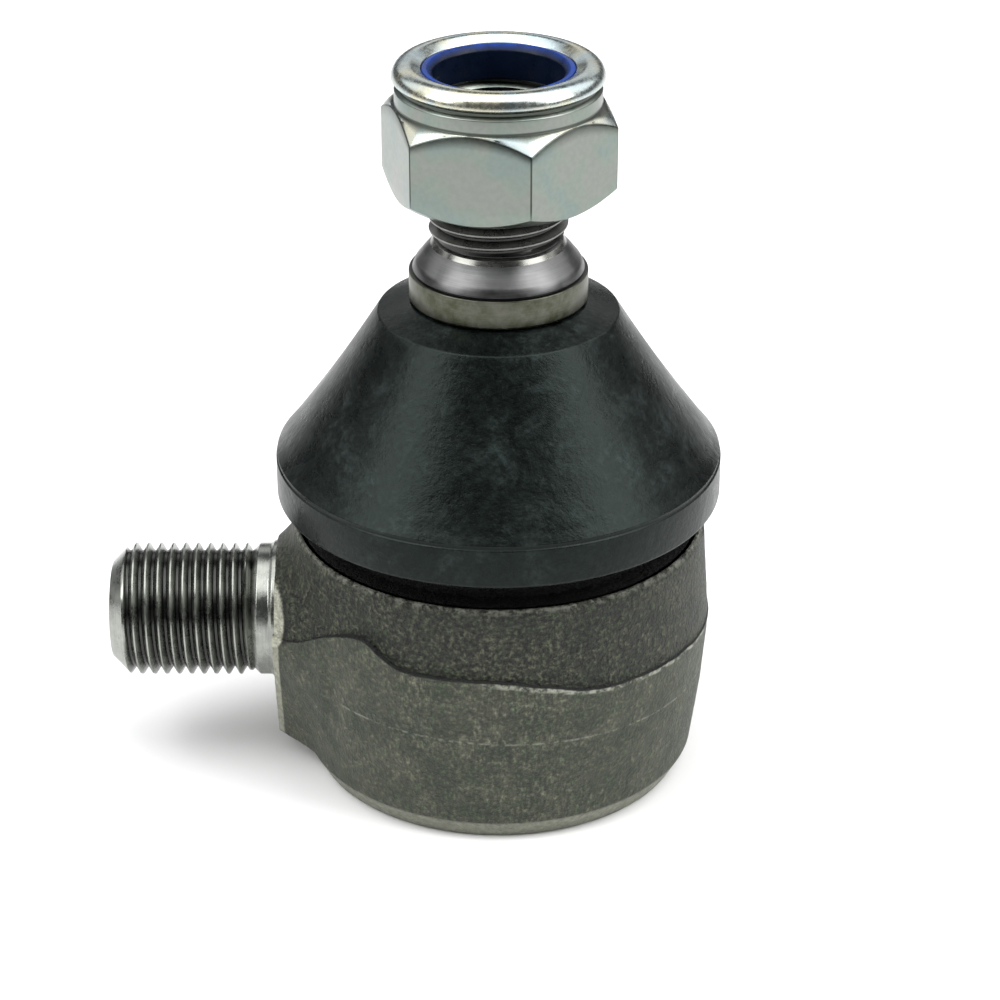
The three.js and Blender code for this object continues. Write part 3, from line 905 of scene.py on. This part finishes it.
def insert():
    """The nylon ring, whose lip stands a little above the crown's edge."""
    low, high = insert_low[2], insert_high[2]
    inner, outer = 7.45, insert_high[0]
    lip_r, lip_z = 8.62, high + 0.4
    outline = rounded([(inner, low, 0.25), (outer, low, 0.3), (outer, high, 0.3), (lip_r, high),
                       (lip_r, lip_z, 0.15), (8.1, lip_z, 0.3), (inner, high - 0.2, 0.3)], steps=6)
    made = turned("insert_ring", outline, SMALL_COLUMNS)
    # Marks the bore for painted shade.
    paint(made, "wall", lambda p: smooth_step(inner + 0.65, inner + 0.35, np.hypot(p[:, 0], p[:, 1])))
    made.data.materials.append(nylon)
    return made


def closing_plate():
    """Pressed cover with a shallow dish in its middle and a flange that the housing's lip holds."""
    flange_r, flange_top = 21, 3.2
    dish, sheet = 0.25, 1.9
    outline = rounded([(0, dish), (3.0, dish, 2), (5.0, 0.0, 2), (16.2, 0, 0.8), (17.2, 1.4, 0.5),
                       (flange_r, 1.4, 0.2), (flange_r, flange_top, 0.2), (16, flange_top, 0.5),
                       (14.9, sheet, 0.5), (0, sheet)])
    made = turned("cover_plate", outline, SMALL_COLUMNS)
    made.data.materials.append(plate_steel)
    return made


def split_boot(whole):
    """Upper and lower half of the boot, cut apart at BOOT_FOLD_Z, each shaded smooth on its own."""
    cut = BOOT_FOLD_Z * MM
    halves = []
    for name, keep_upper in (("boot_lower", False), ("boot_upper", True)):
        mesh = whole.data.copy()
        bm = bmesh.new()
        bm.from_mesh(mesh)
        geometry = bm.verts[:] + bm.edges[:] + bm.faces[:]
        clear = {"clear_inner": keep_upper, "clear_outer": not keep_upper}
        bmesh.ops.bisect_plane(bm, geom=geometry, plane_co=(0, 0, cut), plane_no=(0, 0, 1), **clear)
        bm.to_mesh(mesh)
        bm.free()
        mesh.name = name
        halves.append(shaded(name, mesh))
    bpy.data.objects.remove(whole)
    return halves


def ride(piece, body, slot, *nodes):
    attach(piece, body)
    if nodes:
        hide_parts(*nodes)


ride(housing_body(), "housing", "forging", "housing")
ride(shank(), "housing", "forging", "housing")
ride(closing_plate(), "housing", "cover_steel", "closing_plate")
ride(stud(), "stud", "stud_steel", "ball_stud")
ride(lock_nut(), "nut", "zinc", "lock_nut")
ride(nut_thread(), "nut", "zinc", "lock_nut")
ride(insert(), "insert", "blue_nylon", "nylon_insert")

boot_lower, boot_upper = split_boot(dust_boot())
for half in (boot_lower, boot_upper):
    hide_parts("dust_boot")
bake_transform(boot_lower)
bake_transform(boot_upper)

CARRIED_OVER = {
    "upper_bearing_seat": acetal,
    "lower_bearing_seat": acetal,
    "preload_spring": spring_steel,
    "plate_seal_ring": rubber,
    "boot_base_ring": spring_steel,
    "boot_top_ring": spring_steel,
}
for name, finish in CARRIED_OVER.items():
    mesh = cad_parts[name].data
    mesh.materials.clear()
    mesh.materials.append(finish)


# ---------------------------------------------------------------- studio


def studio_floor():
    mesh = bpy.data.meshes.new("floor")
    half = 4.0
    corners = [(-half, -half, 0), (half, -half, 0), (half, half, 0), (-half, half, 0)]
    mesh.from_pydata(corners, [], [(0, 1, 2, 3)])
    mesh.materials.append(floor_material())
    floor = bpy.data.objects.new("floor", mesh)
    bpy.context.collection.objects.link(floor)


def softbox(name, azimuth, elevation, distance, size, brightness):
    """An area light aimed at the middle of the part. Azimuth 0 is the camera's side."""
    target = Vector((0, 0, 0.04))
    a, e = math.radians(azimuth), math.radians(elevation)
    away = Vector((math.sin(a) * math.cos(e), -math.cos(a) * math.cos(e), math.sin(e)))
    light = bpy.data.lights.new(name, "AREA")
    light.shape = "RECTANGLE"
    light.size, light.size_y = size
    light.energy = brightness * math.pi * size[0] * size[1]
    lamp = bpy.data.objects.new(name, light)
    lamp.location = target + away * distance
    lamp.rotation_euler = away.to_track_quat("Z", "Y").to_euler()
    bpy.context.collection.objects.link(lamp)


def studio_world():
    world = bpy.data.worlds.new("studio")
    world.use_nodes = True
    background = world.node_tree.nodes["Background"]
    background.inputs["Color"].default_value = (0.9, 0.93, 0.95, 1)
    background.inputs["Strength"].default_value = 0.1
    bpy.context.scene.world = world


def studio_camera():
    """A long lens from 27 degrees above, straight at the side that the shank leaves to the left."""
    elevation = math.radians(27)
    distance = 0.3588
    target = Vector((0, 0, 0.03315))
    away = Vector((0, -math.cos(elevation), math.sin(elevation)))
    data = bpy.data.cameras.new("camera")
    data.sensor_width = 36
    data.lens = 108
    data.shift_x = 0.0015
    data.clip_start, data.clip_end = 0.01, 50
    camera = bpy.data.objects.new("camera", data)
    camera.location = target + away * distance
    camera.rotation_euler = away.to_track_quat("Z", "Y").to_euler()
    bpy.context.collection.objects.link(camera)
    bpy.context.scene.camera = camera


studio_floor()
studio_world()
studio_camera()
softbox("top_light", 0, 86, 1.8, (2.4, 2.2), 2.4)
softbox("left_light", -68, 40, 0.8, (0.44, 0.7), 4.7)
softbox("right_light", 70, 40, 0.8, (0.44, 0.7), 5.4)
softbox("left_rim_light", -115, 38, 0.9, (0.5, 0.6), 1.5)
softbox("right_rim_light", 115, 38, 0.9, (0.5, 0.6), 1.9)
softbox("back_light", 180, 27, 1.2, (1.4, 0.4), 1.0)

view = bpy.context.scene.view_settings
view.view_transform = "Standard"
view.look = "None"
